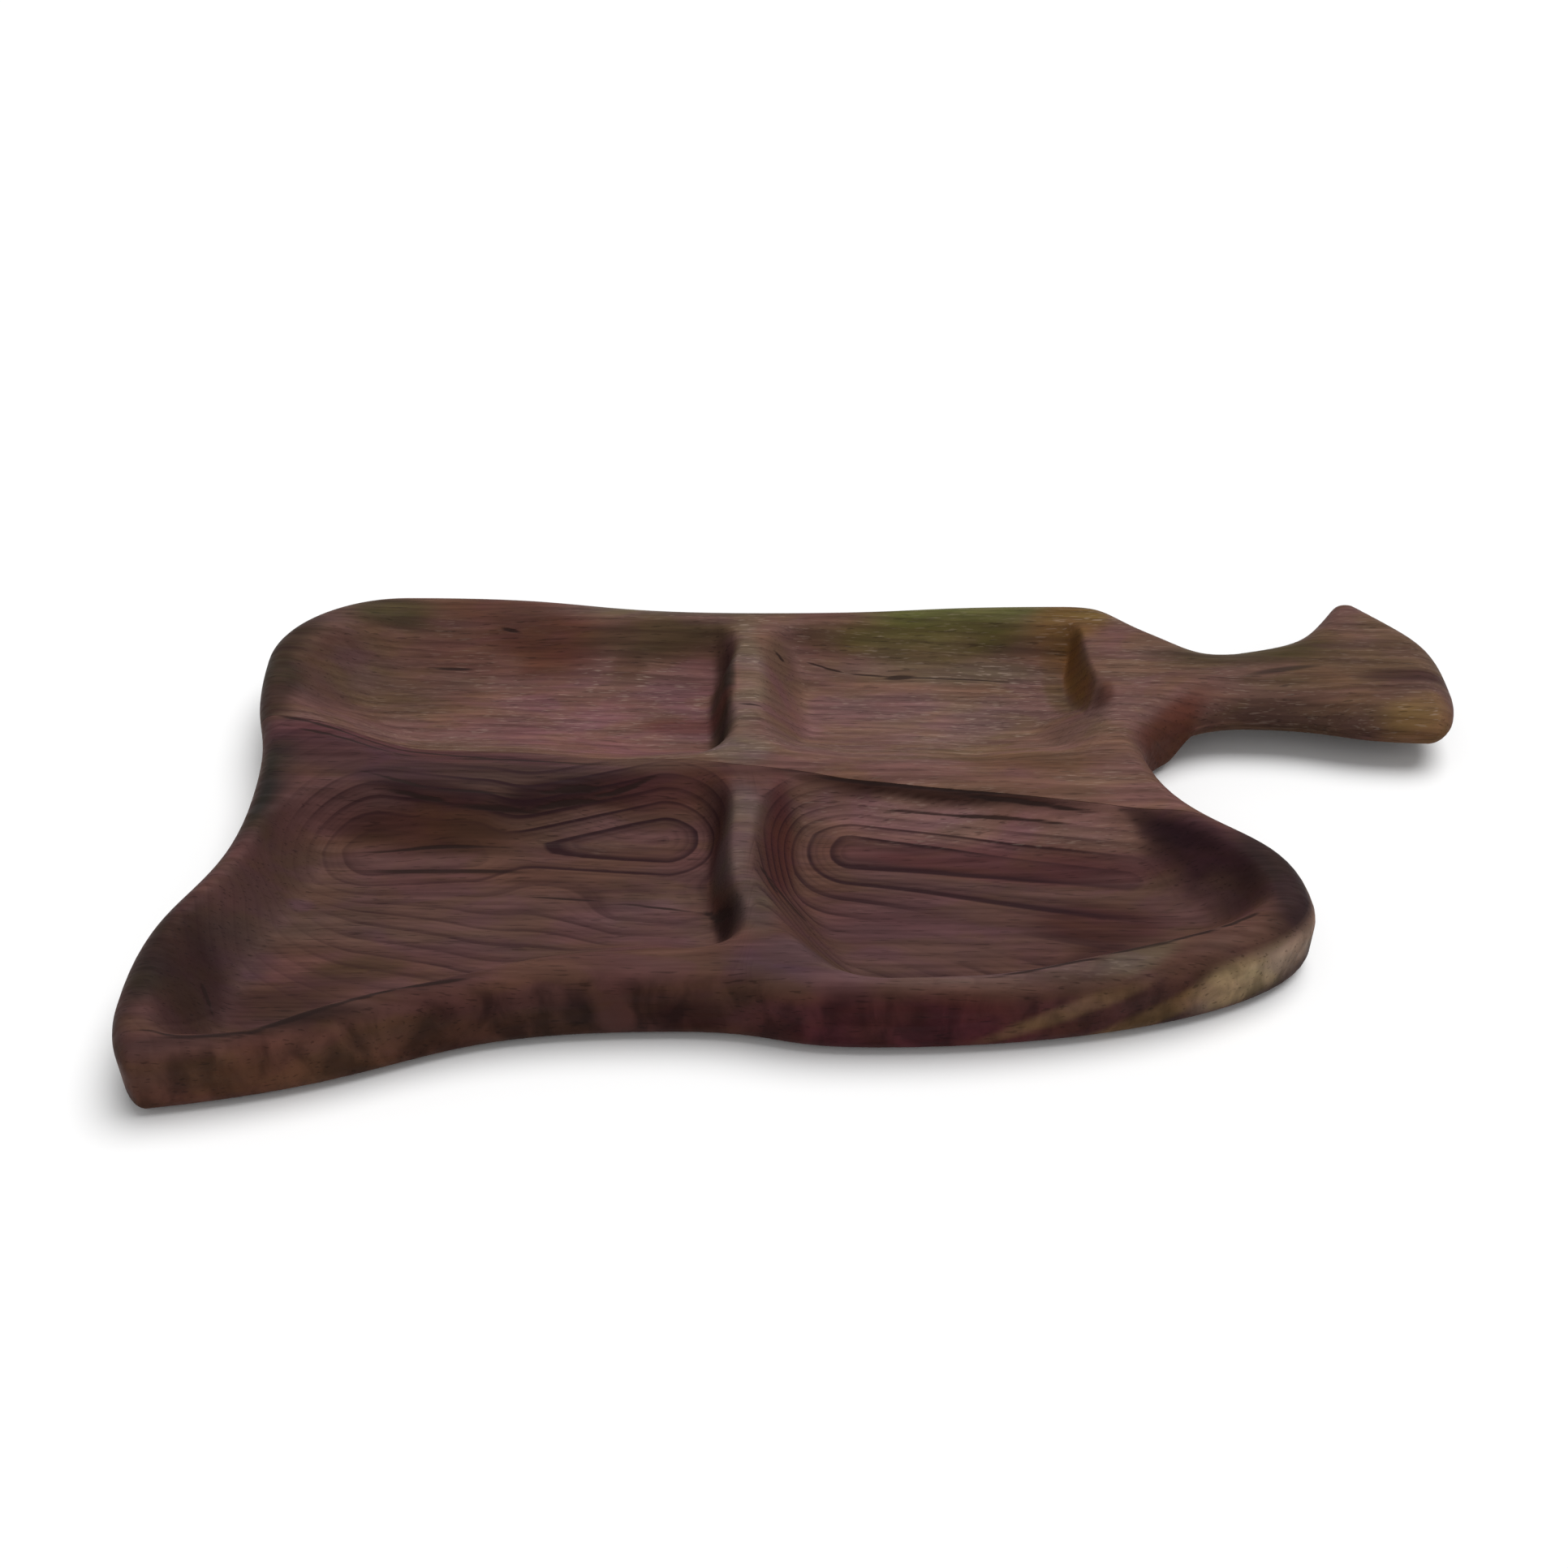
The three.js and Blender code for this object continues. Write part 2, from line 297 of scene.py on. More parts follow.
# The whole dish as a grid: rows from the spine below, out, over the edge and in to the top spine.
def dishGrid():
    nodes = dishNodes()
    counts = meshPlan["columns"]
    front, rear = meshPlan["frontRibs"], meshPlan["rearRibs"]
    frontAt = np.concatenate([evenSteps(nodes, *front[k:k + 2], n) for k, n in enumerate(counts)])
    rearAt = np.concatenate([evenSteps(nodes, *rear[k:k + 2], n) for k, n in enumerate(counts)])
    around = np.concatenate([frontAt, [front[-1]], rearAt[:0:-1]])
    stops = np.concatenate([[0], np.cumsum(counts)])
    spine = np.array(meshPlan["spine"], float)
    half = np.arange(stops[-1] + 1)
    line = np.stack([np.interp(half, stops, spine[:, k]) for k in (0, 1)], -1)
    middle = np.concatenate([line, line[-2:0:-1]])

    insets = meshPlan["rollInset"] * (1 - np.cos(np.linspace(0, np.pi / 2, meshPlan["rollRows"])))
    rings = outlineAt(nodes, insets, around)
    plans = []
    for name in ("underRows", "topRows"):
        way = np.linspace(0, 1, meshPlan[name] + 1)[1:, None, None]
        plans.append(np.concatenate([rings, rings[-1] + (middle - rings[-1]) * way]))
    underPlan, overPlan = plans

    top = dishPlan["thickness"]
    share, place = insideShare(overPlan.reshape(-1, 2), nodes)
    share, place = [field.reshape(overPlan.shape[:2]) for field in (share, place)]
    share[0] = 0
    fall = roundedFall(share) * valueAt(nodes, "drop", place)
    depth = carvedDepth(overPlan.reshape(-1, 2)).reshape(overPlan.shape[:2])
    uneven = np.clip(share / wavePlan["fadeIn"], 0, 1) * (handWave(overPlan) - wavePlan["below"])
    overZ = top - fall - sanded(depth - uneven)

    lifted = liftShare(underPlan)
    foot = dishPlan["footRound"] + (handlePlan["footRound"] - dishPlan["footRound"]) * lifted
    share, place = insideShare(underPlan.reshape(-1, 2), nodes)
    share = np.abs((share * valueAt(nodes, "run", place)).reshape(underPlan.shape[:2])) / foot
    share[0] = 0
    underZ = handlePlan["lift"] * lifted + roundedFall(share) * foot

    climb = np.linspace(0, 1, meshPlan["wallRows"] + 2)[1:-1, None]
    wallPlan = np.broadcast_to(rings[0], (len(climb), *rings[0].shape))
    wallZ = underZ[0] + (overZ[0] - underZ[0]) * climb

    plan = np.concatenate([underPlan[::-1], wallPlan, overPlan])
    height = np.concatenate([underZ[::-1], wallZ, overZ])
    return np.concatenate([plan, height[..., None]], -1)


# Quads of the ring; on the two spines the front and rear columns share their points.
def gridFaces(rows, columns):
    ids = np.arange(rows * columns).reshape(rows, columns)
    column = np.arange(columns)
    shared = np.minimum(column, (columns - column) % columns)
    ids[0], ids[-1] = ids[0, shared], ids[-1, shared]
    right = np.roll(ids, -1, 1)
    return np.stack([ids[:-1], right[:-1], right[1:], ids[1:]], -1).reshape(-1, 4)


# A mesh of quads from whole arrays, with the points that no quad uses left out.
def meshFromGrid(name, points, faces):
    used, faces = np.unique(faces, return_inverse=True)
    faces = faces.reshape(-1, 4)
    points = points[used]
    mesh = bpy.data.meshes.new(name)
    mesh.vertices.add(len(points))
    mesh.vertices.foreach_set("co", points.astype(np.float32).ravel())
    mesh.loops.add(faces.size)
    mesh.loops.foreach_set("vertex_index", faces.astype(np.int32).ravel())
    mesh.polygons.add(len(faces))
    mesh.polygons.foreach_set("loop_start", np.arange(0, faces.size, 4, dtype=np.int32))
    mesh.polygons.foreach_set("use_smooth", np.ones(len(faces), bool))
    mesh.update(calc_edges=True)
    return mesh


# One board: the dish's wood on one side of the joint, with the glued face closed flat.
def cutBoard(name, dishMesh, crossing, side):
    normal = side * turned(jointPlan["angle"] + 90)
    face = crossing + normal * jointPlan["film"] / 2 / perMetre
    bm = bmesh.new()
    bm.from_mesh(dishMesh)
    cut = bmesh.ops.bisect_plane(
        bm, geom=bm.verts[:] + bm.edges[:] + bm.faces[:],
        plane_co=(*face, 0), plane_no=(*normal, 0), clear_inner=True,
    )
    rim = [edge for edge in cut["geom_cut"] if isinstance(edge, bmesh.types.BMEdge)]
    caps = bmesh.ops.edgeloop_fill(bm, edges=rim)["faces"]
    for edge in rim:
        edge.smooth = False
    for cap in caps:
        cap.normal_update()
        if cap.normal.x * normal[0] + cap.normal.y * normal[1] > 0:
            cap.normal_flip()
    bmesh.ops.triangulate(bm, faces=caps)
    mesh = bpy.data.meshes.new(name)
    bm.to_mesh(mesh)
    bm.free()
    piece = bpy.data.objects.new(name, mesh)
    bpy.context.scene.collection.objects.link(piece)
    return piece


grid = dishGrid() / perMetre
crossing = np.array(dishPlan["crossing"]) / perMetre
grid[..., :2] += crossing
rows, columns = grid.shape[:2]
dishMesh = meshFromGrid("dish", grid.reshape(-1, 3), gridFaces(rows, columns))
rearBoard = cutBoard("carved_rear_board", dishMesh, crossing, 1)
frontBoard = cutBoard("carved_front_board", dishMesh, crossing, -1)
bpy.data.meshes.remove(dishMesh)
print("boards carved:", len(rearBoard.data.polygons), len(frontBoard.data.polygons), "faces")

# Shades of the wood on top: middle from the crossing, half length, half width, turn in degrees,
# colour as the eye reads it, 0 to 255, and strength. Most are the wood's own colour; those marked
# below are painted shade or shadow, in whole or in part, and one wall shade holds a painted
# highlight. Wall shades lie on the walls that face the front, by x and height. In a ring zone a
# number in the colour's place says how dark the rings are. A mark is a check or crack, or, where
# marked below, a thin line of painted shade: middle, half length, half width, turn.
rearWood = {
    "ground": (103, 75, 67),
    "wallGround": (76, 53, 44),
    "shades": {
        "pinkFloor": (-48, 48, 62, 34, 0, (110, 76, 76), 0.8),
        "greyEnd": (-168, 72, 24, 34, 0, (68, 53, 48), 0.7),
        "beigeSide": (-142, 72, 40, 24, 0, (87, 63, 52), 0.8),
        "redHeart": (-98, 82, 34, 11, -4, (94, 61, 52), 0.8),
        "redRim": (-104, 101, 28, 8, -2, (71, 43, 31), 0.7),
        "redStain": (-82, 88, 22, 9, -3, (80, 40, 32), 0.6),
        "redDrop": (-86, 79, 6, 5, 0, (86, 52, 44), 0.6),
        "umberSpot": (-50, 78, 8, 5, 0, (76, 50, 40), 0.6),
        "plumCorner": (-163, 80, 10, 7, 0, (80, 52, 54), 0.5),
        "oliveRimLeft": (-145, 100, 20, 10, 0, (50, 50, 24), 0.7),
        "brownWall": (-38, 87, 36, 6, 0, (61, 50, 33), 0.7),
        "greyRim": (-30, 99, 50, 7, 0, (86, 77, 64), 0.7),
        "purpleEnd": (-183, 58, 12, 44, 0, (46, 34, 26), 0.9),
        # The next three shades are painted shadow: a black line down the rear divider's left side,
        # where it shades the rear-left hollow.
        "paintedShadowEdge": (-12, 54, 4, 34, 0, (48, 34, 24), 0.8),
        "paintedShadowFoot": (-9, 26, 4, 9, 0, (26, 20, 17), 0.9),
        "paintedShadowLip": (-8.5, 54, 2.4, 28, 0, (26, 19, 16), 0.85),
        "redCorner": (-24, 44, 18, 6, 0, (93, 49, 42), 0.6),
        "paleCrossing": (-3, 10, 15, 9, -9, (105, 87, 82), 0.8),
        "oliveRim": (84, 97, 46, 11, 0, (84, 88, 46), 0.9),
        "redBrown": (32, 89, 14, 8, 0, (92, 68, 52), 0.7),
        "greyWall": (72, 76, 46, 6, 0, (99, 86, 71), 0.6),
        # The next shade is partly painted shade: the top of the rear-right hollow's rear wall,
        # darker under the rim, over its olive colour.
        "oliveWallAndPaintedShade": (72, 87, 46, 7, 0, (80, 72, 38), 0.75),
        "orangeCorner": (128, 90, 13, 16, 0, (107, 80, 41), 0.8),
        "goldRamp": (98, 26, 30, 18, -8, (110, 86, 70), 0.7),
        "brownRamp": (100, 6, 36, 9, -9, (86, 60, 47), 0.7),
        # The next shade is painted shadow on the floor at the foot of the rear-right hollow's right
        # wall.
        "wallFootPaintedShadow": (121, 66, 5, 18, 3, (88, 68, 48), 0.7),
        "darkWall": (128.5, 68, 3.4, 22, 3, (118, 82, 44), 0.8),
        "darkSpot": (135, 44, 4, 8, -20, (63, 34, 24), 0.7),
        "pinkRight": (55, 48, 48, 20, 0, (113, 87, 83), 0.6),
        "brownSide": (14, 38, 5, 14, -12, (114, 80, 72), 0.6),
        "paleDivider": (-1, 52, 7, 42, 0, (106, 88, 78), 0.7),
        "brownHandle": (228, 62, 56, 32, 8, (84, 62, 45), 0.6),
        # The next shade is painted shade along the handle's neck, where its rounded edge turns from
        # the light.
        "armpitPaintedShade": (159, 32, 22, 6, 42, (90, 52, 38), 0.85),
        "oliveNeck": (194, 72, 40, 11, 8, (59, 50, 26), 0.7),
        "brownStreak": (255, 55, 22, 4.5, 4, (49, 24, 24), 0.7),
        "yellowEnd": (256, 36, 19, 9, 8, (129, 98, 66), 0.8),
        "darkStreak": (206, 58, 16, 1.6, 12, (30, 24, 18), 0.7),
    },
    "wallShades": {},
    "marks": [
        (-118.3, 77.5, 8, 0.7, -2), (-96.4, 91.3, 4.5, 0.7, -13), (11.3, 74.8, 2.4, 0.9, -25),
        (28.5, 76.9, 9, 0.45, -12), (46, 74.4, 9.5, 0.4, -4), (78.3, 72.7, 24, 0.35, -1),
        (59.1, 73.2, 6.5, 1.1, 1), (0, 36.4, 4, 0.5, -7),
    ],
    "ringColour": (52, 30, 28),
    "ringShow": 0.25,
    "ringZones": {"jointSide": (-130, 20, 60, 12, -9, 0.6, 1)},
    "wallTop": 27,
    "lobeDrop": 0,
    "wallEnd": 130,
    "endDark": 0.25,
    "flecks": 0.3,
    "fibres": 0.19,
    "smudges": 0.15,
}

frontWood = {
    "ground": (84, 58, 53),
    "wallGround": (75, 49, 43),
    "shades": {
        "plumRidge": (-128, 12, 70, 10, -9, (74, 38, 47), 0.6),
        "purpleBand": (-144, 6, 36, 12, -12, (65, 42, 47), 0.85),
        "umberBand": (-92, -5, 52, 8, -3, (54, 38, 38), 0.75),
        # The next two shades are partly painted shade: the steep top of the front-left hollow's
        # rear wall, over its dark purple grain.
        "darkBandAndPaintedShade": (-113, -13, 26, 5, -12, (37, 17, 20), 0.85),
        "darkSweepAndPaintedShade": (-64, -11.5, 34, 5, 13, (37, 17, 20), 0.9),
        "darkArch": (-27, -6, 26, 7, 10, (74, 43, 40), 0.6),
        "brownRim": (-128, -121, 66, 6, 11, (69, 45, 36), 0.8),
        "darkRim": (-197, -92, 9, 36, 4, (34, 27, 22), 0.85),
        "greenNotch": (-177, -10, 15, 28, 0, (27, 28, 24), 0.95),
        "brownCore": (-114, -24, 32, 8, -4, (60, 36, 28), 0.85),
        "tearHeart": (-42, -22, 28, 9, 7, (91, 64, 59), 0.7),
        "tanFan": (-110, -64, 62, 17, 5, (81, 60, 58), 0.7),
        "mauveCorner": (-30, -66, 30, 17, 0, (89, 65, 64), 0.6),
        "yellowFan": (-130, -88, 16, 7, 10, (54, 42, 27), 0.6),
        "mauveLeft": (-170, -86, 14, 15, 0, (59, 45, 50), 0.6),
        "darkLeft": (-183, -97, 12, 30, 8, (44, 26, 24), 0.75),
        # The next shade is painted shade on the front-left hollow's floor just behind the front
        # rim.
        "frontPaintedShade": (-155, -103, 26, 10, 16, (56, 37, 34), 0.8),
        "paleKnot": (-155, -56, 5, 3, 0, (83, 55, 67), 0.7),
        # The next two shades are painted shade on the front-left hollow's right wall by the
        # divider, and in its front corner.
        "sidePaintedShade": (-9, -40, 4, 36, 0, (60, 25, 21), 0.6),
        "cornerPaintedShade": (-7, -70, 5, 9, 20, (44, 26, 26), 0.9),
        "beigeFloor": (80, -20, 64, 10, -9, (136, 100, 97), 0.85),
        "redTongue": (86, -35, 54, 8, -8, (84, 46, 45), 0.8),
        "mauveFloor": (68, -70, 42, 19, 0, (82, 54, 54), 0.8),
        "greyGreen": (118, -84, 15, 8, 15, (52, 30, 30), 0.8),
        "redFloor": (124, -66, 28, 12, 0, (56, 25, 24), 0.7),
        # The next shade is partly painted shade on the front-right hollow's right wall, over its
        # dark purple; the one after it is painted shade along that wall's top edge.
        "purpleWallAndPaintedShade": (159, -44, 27, 13, -48, (46, 24, 30), 0.85),
        "shoulderPaintedShade": (148, -32, 24, 4, -34, (36, 20, 24), 0.7),
        "mauvePatch": (160, -58, 8, 8, 0, (82, 56, 51), 0.6),
        "paleRim": (66, -104, 50, 8, 3, (97, 74, 74), 0.8),
        "redSide": (11, -34, 5, 30, 0, (81, 39, 38), 0.6),
        # The next shade is partly painted shade: the steep top of the front-right hollow's rear
        # wall, over its dark grain.
        "rearBandAndPaintedShade": (72, -13, 60, 3.6, -10, (40, 20, 17), 0.95),
        "pinkNeck": (-3, -36, 7, 28, 0, (93, 76, 73), 0.7),
        "greenNeck": (3, -72, 8, 17, 0, (80, 66, 60), 0.7),
        "greyFlat": (11, -98, 18, 9, 0, (78, 56, 67), 0.7),
        # The next two shades are painted shadow: dark bands along the front-left hollow's front
        # edge, where the rim shades the floor.
        "frontEdgePaintedShadow": (-150, -127, 34, 3.5, 13, (36, 23, 20), 0.8),
        "frontEdgeRightPaintedShadow": (-108, -110, 28, 3, 11, (42, 26, 23), 0.7),
        "sapRim": (128, -97, 16, 5, 20, (92, 80, 69), 0.7),
        "lobeRim": (183, -60, 12, 34, 12, (31, 21, 22), 0.85),
    },
    "wallShades": {
        "brownLeft": (-152, 14, 52, 18, 0, (106, 72, 57), 0.7),
        "redMiddle": (56, 12, 60, 18, 0, (77, 35, 41), 0.8),
        "darkBlotch": (-55, 14, 7, 9, 0, (34, 21, 19), 0.7),
        "blackBlotch": (-16, 12, 13, 9, 0, (46, 22, 20), 0.7),
        "sapStreak": (112, 19, 36, 4, 22, (119, 92, 70), 0.8),
        "sapLower": (142, 12, 36, 5, 22, (126, 99, 64), 0.8),
        # The next wall shade is pale sapwood at the lobe's right end, partly a painted highlight.
        "creamAndPaintedHighlight": (172, 18, 26, 12, 15, (192, 164, 136), 0.85),
    },
    "marks": [
        (-62, -53, 14, 0.5, -5), (-30, -57.5, 15, 0.8, -9), (-9.5, -64.5, 8, 1.5, -48),
        (-175.5, -104.7, 6, 0.6, -63), (14, -61, 13, 0.8, -50), (-113, -29.5, 25, 0.7, 0),
        (-113, -38.5, 30, 1.0, -1), (-152, 22, 30, 0.9, -16), (-112, 11, 26, 1.1, -15),
        (-82, 4.5, 28, 0.9, -5), (-146, 15, 26, 0.8, -17), (58, -10, 40, 0.9, -9),
        (96, -18, 30, 0.8, -11), (84, -20.5, 34, 0.5, -9), (8, -56, 8, 0.8, -59),
        # The nine marks from (98, -102.3) to (-100, -109.8) are painted shade: thin dark lines
        # along the front edges of the front hollows.
        (98, -102.3, 20, 1.0, 13), (128, -93.6, 14, 1.1, 17), (146, -88.3, 14, 1.1, 20),
        (163, -81.5, 9, 1.0, 28), (-180, -131.3, 8, 1.0, -8), (-166, -131.4, 14, 1.1, 6),
        (-145, -126.2, 15, 1.1, 22), (-122, -116.4, 16, 1.1, 22), (-100, -109.8, 14, 0.9, 12),
        (-116, -15.5, 13, 0.9, -14), (-92, -18.6, 16, 1.0, -1), (-68, -15.5, 13, 0.9, 16),
        (-47, -8, 13, 0.8, 20), (-126, -8.5, 13, 0.9, -20), (-96, -14.2, 18, 0.7, -3),
        (-62, -10.5, 16, 1.1, 14),
    ],
    "ringColour": (36, 17, 21),
    "ringShow": 0.12,
    "ringZones": {
        "ridge": (-124, 10, 70, 14, -9, 0.3, 1),
        "leftHollow": (-76, -24, 88, 28, 0, 1, 1),
        "fan": (-100, -68, 84, 28, 6, 0.6, 1),
        "rightHollow": (62, -52, 76, 46, -8, 1, 1),
        "paleFloor": (86, -15, 60, 10, -9, 0.05, 1),
        "redTongue": (90, -36, 48, 5, -8, 0.4, 1),
        "lobe": (160, -60, 26, 50, 0, 0.1, 1),
        "neck": (-3, -42, 9, 46, 0, 0, 1),
        "smoothFloor": (63, -73, 46, 17, 0, 0.1, 1),
        "leftSide": (-168, -48, 24, 50, 12, 0.15, 1),
        "core": (-114, -29, 34, 13, 0, 0.12, 1),
    },
    "wallTop": 30,
    "lobeDrop": 3,  # the top's colours run further down round the right lobe
    "wallEnd": 400,
    "endDark": 0.38,
    "flecks": 0.16,
    "fibres": 0.15,
    "smudges": 0.13,
}

# Growth rings. Hearts are the shapes that the carving lays open round the middle of a ring: two
# ends and the half widths there. Rings follow the distance from the nearest heart, and on a slope
# the height. A ring's dark lines hold the shares of the ring where they begin and are full, their
# strength, and the share where they stop.
ringPlan = {
    "hearts": [
        ((38, -28.5), (134, -42.5), 9, 7.5),
        ((-82, -28), (-30, -22), 2, 12.5),
        ((-132, -27.5), (-99, -28.5), 13.5, 9),
    ],
    "blend": 4.0,
    "divider": 6,  # width over which the left side's rings change to the right side's
    "spacing": (7.0, 8.0),  # left and right of the divider
    "rise": (7.0, 3.6),
    "floorHeight": 14,  # above it the rings rise with the slopes
    "spread": (25, 110, 0.9),  # the rings draw apart past x 25, over 110 mm, by this share
    "inside": 0.6,  # inside a heart the rings are counted this much slower
    "slant": -0.045,  # in front of the hearts the rings fall off to the right
    "slantFrom": -100,
    "slantMost": 55,
    "slantFront": (-40, 24),  # y where it begins, and the run over which it grows
    "straightSpacing": 5.0,
    "straightRise": 9,
    "straightTurn": 0.5,  # share of the joint's angle that the straight grain takes
    "broad": (0.2, 0.9, 0.5, 0.92),
    "line": (0.66, 0.88, 0.45, 0.92),
    "fine": (0.3, 0.8, 0.22, 0.85),
    "fineCount": 3.3,  # fine lines to a ring
    "ripple": 0.2,
    "darkest": 0.92,
}

# A shade's edge: the half size from which it wanders freely, where it ends, in half sizes, and over
# how many of them it fades.
shadePlan = {"free": 16, "end": 1.3, "fade": 0.8}

# Where the top's colours give way to the outer wall's: the fade in height, then pairs of a start
# and a run for the rounded edge, the right lobe by x, the foot by height, and the end grain by how
# far a point faces along x.
rimPlan = {
    "fade": 7,
    "edge": (1.2, 0.4),
    "lobe": (40, 80),
    "wallEndRun": 20,
    "foot": (4, 3),
    "endGrain": (0.1, 0.8),
    "frontFacing": 0.5,
}


# Light values of a colour as the eye reads it, by the curve that screens use.
def linear(colour):
    c = np.asarray(colour, float) / 255
    return np.where(c < 0.04045, c / 12.92, ((c + 0.055) / 1.055) ** 2.4)


# Waves along the grain and across it: height, lengths to a radian along x and y, and start.
wanderPlan = {
    "along": [(4, 17, 11, 0), (1.6, 7, -6, 1)],
    "across": [(1.8, 21, 9, 2), (0.7, 6, 4, 0)],
}


# Unsteady edges for the shades: two pairs of waves push each point about.
def wander(points):
    x, y = points[:, 0], points[:, 1]
    pushes = [
        sum(high * np.sin(x / across + y / up + start) for high, across, up, start in waves)
        for waves in wanderPlan.values()
    ]
    return np.stack(pushes, -1)


# Shades laid over each other: each is full to half its ellipse and fades out past its edge, and the
# narrow ones keep their place.
def shaded(colours, points, push, shades, mask):
    for x, y, length, width, turn, colour, strength in shades.values():
        freedom = min(1, min(length, width) / shadePlan["free"])
        loose = points + push * freedom - (x, y)
        local = loose @ np.stack([turned(turn), turned(turn + 90)], -1)
        reach = np.hypot(local[:, 0] / length, local[:, 1] / width)
        cover = smooth((shadePlan["end"] - reach) / shadePlan["fade"])
        share = (strength * mask * cover)[:, None]
        goal = linear(colour) if np.ndim(colour) else colour
        colours = colours + share * (goal - colours)
    return colours


# Ring count at each point: the smooth least distance from the hearts over the spacing, plus the
# height over the rise, plus the slant.
def ringPhase(points, height):
    near = np.zeros(len(points))
    for start, end, startWidth, endWidth in ringPlan["hearts"]:
        step = np.subtract(end, start)
        t = np.clip(((points - start) @ step) / (step @ step), 0, 1)
        gap = np.linalg.norm(points - start - t[:, None] * step, axis=1)
        near += np.exp((startWidth + (endWidth - startWidth) * t - gap) / ringPlan["blend"])
    distance = -ringPlan["blend"] * np.log(near)
    distance = np.where(distance < 0, distance * ringPlan["inside"], distance)
    x, y = points[:, 0], points[:, 1]
    right = smooth(x / ringPlan["divider"] + 0.5)
    pairs = (ringPlan["spacing"], ringPlan["rise"])
    spacing, rise = [left + (other - left) * right for left, other in pairs]
    first, run, more = ringPlan["spread"]
    spacing = spacing * (1 + more * smooth((x - first) / run))
    front, frontRun = ringPlan["slantFront"]
    fall = np.minimum(x - ringPlan["slantFrom"], ringPlan["slantMost"])
    fall = fall * smooth((front - y) / frontRun)
    slant = ringPlan["slant"] * (1 - right) * fall
    slope = np.maximum(height - ringPlan["floorHeight"], 0) / rise
    return distance / spacing + slope + slant


# Straight grain: rings across the board, half turned towards the joint, that climb with the height.
def straightPhase(points, height):
    across = points @ turned(jointPlan["angle"] * ringPlan["straightTurn"] + 90)
    return across / ringPlan["straightSpacing"] + height / ringPlan["straightRise"]


def setAttribute(mesh, name, kind, values):
    field = "color" if kind == "FLOAT_COLOR" else "value"
    data = mesh.attributes.new(name, kind, "POINT").data
    data.foreach_set(field, np.asarray(values, np.float32).ravel())


# The board's colour, painted shade and highlight included, ring count, outer wall and end grain
# as attributes of its points.
def shadeBoard(piece, wood, phase):
    mesh = piece.data
    points = np.zeros(len(mesh.vertices) * 3, np.float32)
    mesh.vertices.foreach_get("co", points)
    points = points.reshape(-1, 3) * perMetre
    plan, height = points[:, :2] - dishPlan["crossing"], points[:, 2]
    x = plan[:, 0]
    share, _ = insideShare(plan, dishNodes())
    (edge, edgeRun), (lobe, lobeRun) = rimPlan["edge"], rimPlan["lobe"]
    (foot, footRun), (level, levelRun) = rimPlan["foot"], rimPlan["endGrain"]
    wallTop = wood["wallTop"] - wood["lobeDrop"] * smooth((x - lobe) / lobeRun)
    wall = smooth((wallTop - height) / rimPlan["fade"]) * smooth((edge - share) / edgeRun)
    wall *= 1 - smooth((x - wood["wallEnd"]) / rimPlan["wallEndRun"])
    wall = np.maximum(wall, smooth((foot - height) / footRun))
    facing = np.zeros(len(points) * 3, np.float32)
    mesh.vertices.foreach_get("normal", facing)
    endGrain = np.clip((np.abs(facing[::3]) - level) / levelRun, 0, 1)
    push = wander(plan)
    ground = np.tile(linear(wood["ground"]), (len(plan), 1))
    colours = shaded(ground, plan, push, wood["shades"], 1 - wall)
    colours += wall[:, None] * (linear(wood["wallGround"]) - colours)
    frontWall = wall * smooth((rimPlan["frontFacing"] - facing[1::3]) / rimPlan["frontFacing"])
    front = np.stack([x, height], -1)
    colours = shaded(colours, front, push * (1, 0), wood["wallShades"], frontWall)
    shown = np.full((len(plan), 1), wood["ringShow"])
    shown = shaded(shown, plan, push, wood["ringZones"], 1 - wall)
    setAttribute(mesh, "tint", "FLOAT_COLOR", np.column_stack([colours, np.ones(len(plan))]))
    setAttribute(mesh, "rings", "FLOAT", phase(plan, height))
    setAttribute(mesh, "ringShow", "FLOAT", shown * (1 - wall[:, None]))
    setAttribute(mesh, "outerWall", "FLOAT", wall)
    setAttribute(mesh, "endGrain", "FLOAT", endGrain)


# One shader node; a socket value is linked and any other value is set.
def addNode(tree, kind, sockets, **settings):
    node = tree.nodes.new("ShaderNode" + kind)
    for key, value in settings.items():
        setattr(node, key, value)
    for key, value in sockets.items():
        if isinstance(value, bpy.types.NodeSocket):
            tree.links.new(value, node.inputs[key])
        else:
            node.inputs[key].default_value = value
    return node


def addMath(tree, operation, a, b):
    return addNode(tree, "Math", {0: a, 1: b}, operation=operation).outputs[0]


# Goes smoothly from first to last while the value goes from low to high.
def addRange(tree, value, low, high, first, last):
    sockets = {"Value": value, "From Min": low, "From Max": high, "To Min": first, "To Max": last}
    return addNode(tree, "MapRange", sockets, interpolation_type="SMOOTHSTEP").outputs[0]


# A value times such a range of another one.
def addFactor(tree, value, other, low, high, first, last):
    return addMath(tree, "MULTIPLY", value, addRange(tree, other, low, high, first, last))


# A ring's dark line: it darkens up to its edge and stops short there.
def addLine(tree, saw, begin, full, strength, stop):
    return addFactor(tree, addRange(tree, saw, begin, full, 0, strength), saw, stop, 1, 1, 0)


# Noise drawn out along the grain.
def addNoise(tree, place, scale, detail, twist):
    stretched = addNode(tree, "Mapping", {"Vector": place, "Scale": scale}).outputs[0]
    sockets = {"Vector": stretched, "Scale": 1, "Detail": detail, "Distortion": twist}
    return addNode(tree, "TexNoise", sockets).outputs[0]


def addBlend(tree, share, first, second):
    return addNode(tree, "Mix", {0: share, 6: first, 7: second}, data_type="RGBA").outputs[2]


def addTint(tree, colour, factors):
    return addNode(tree, "VectorMath", {0: colour, 1: factors}, operation="MULTIPLY").outputs[0]


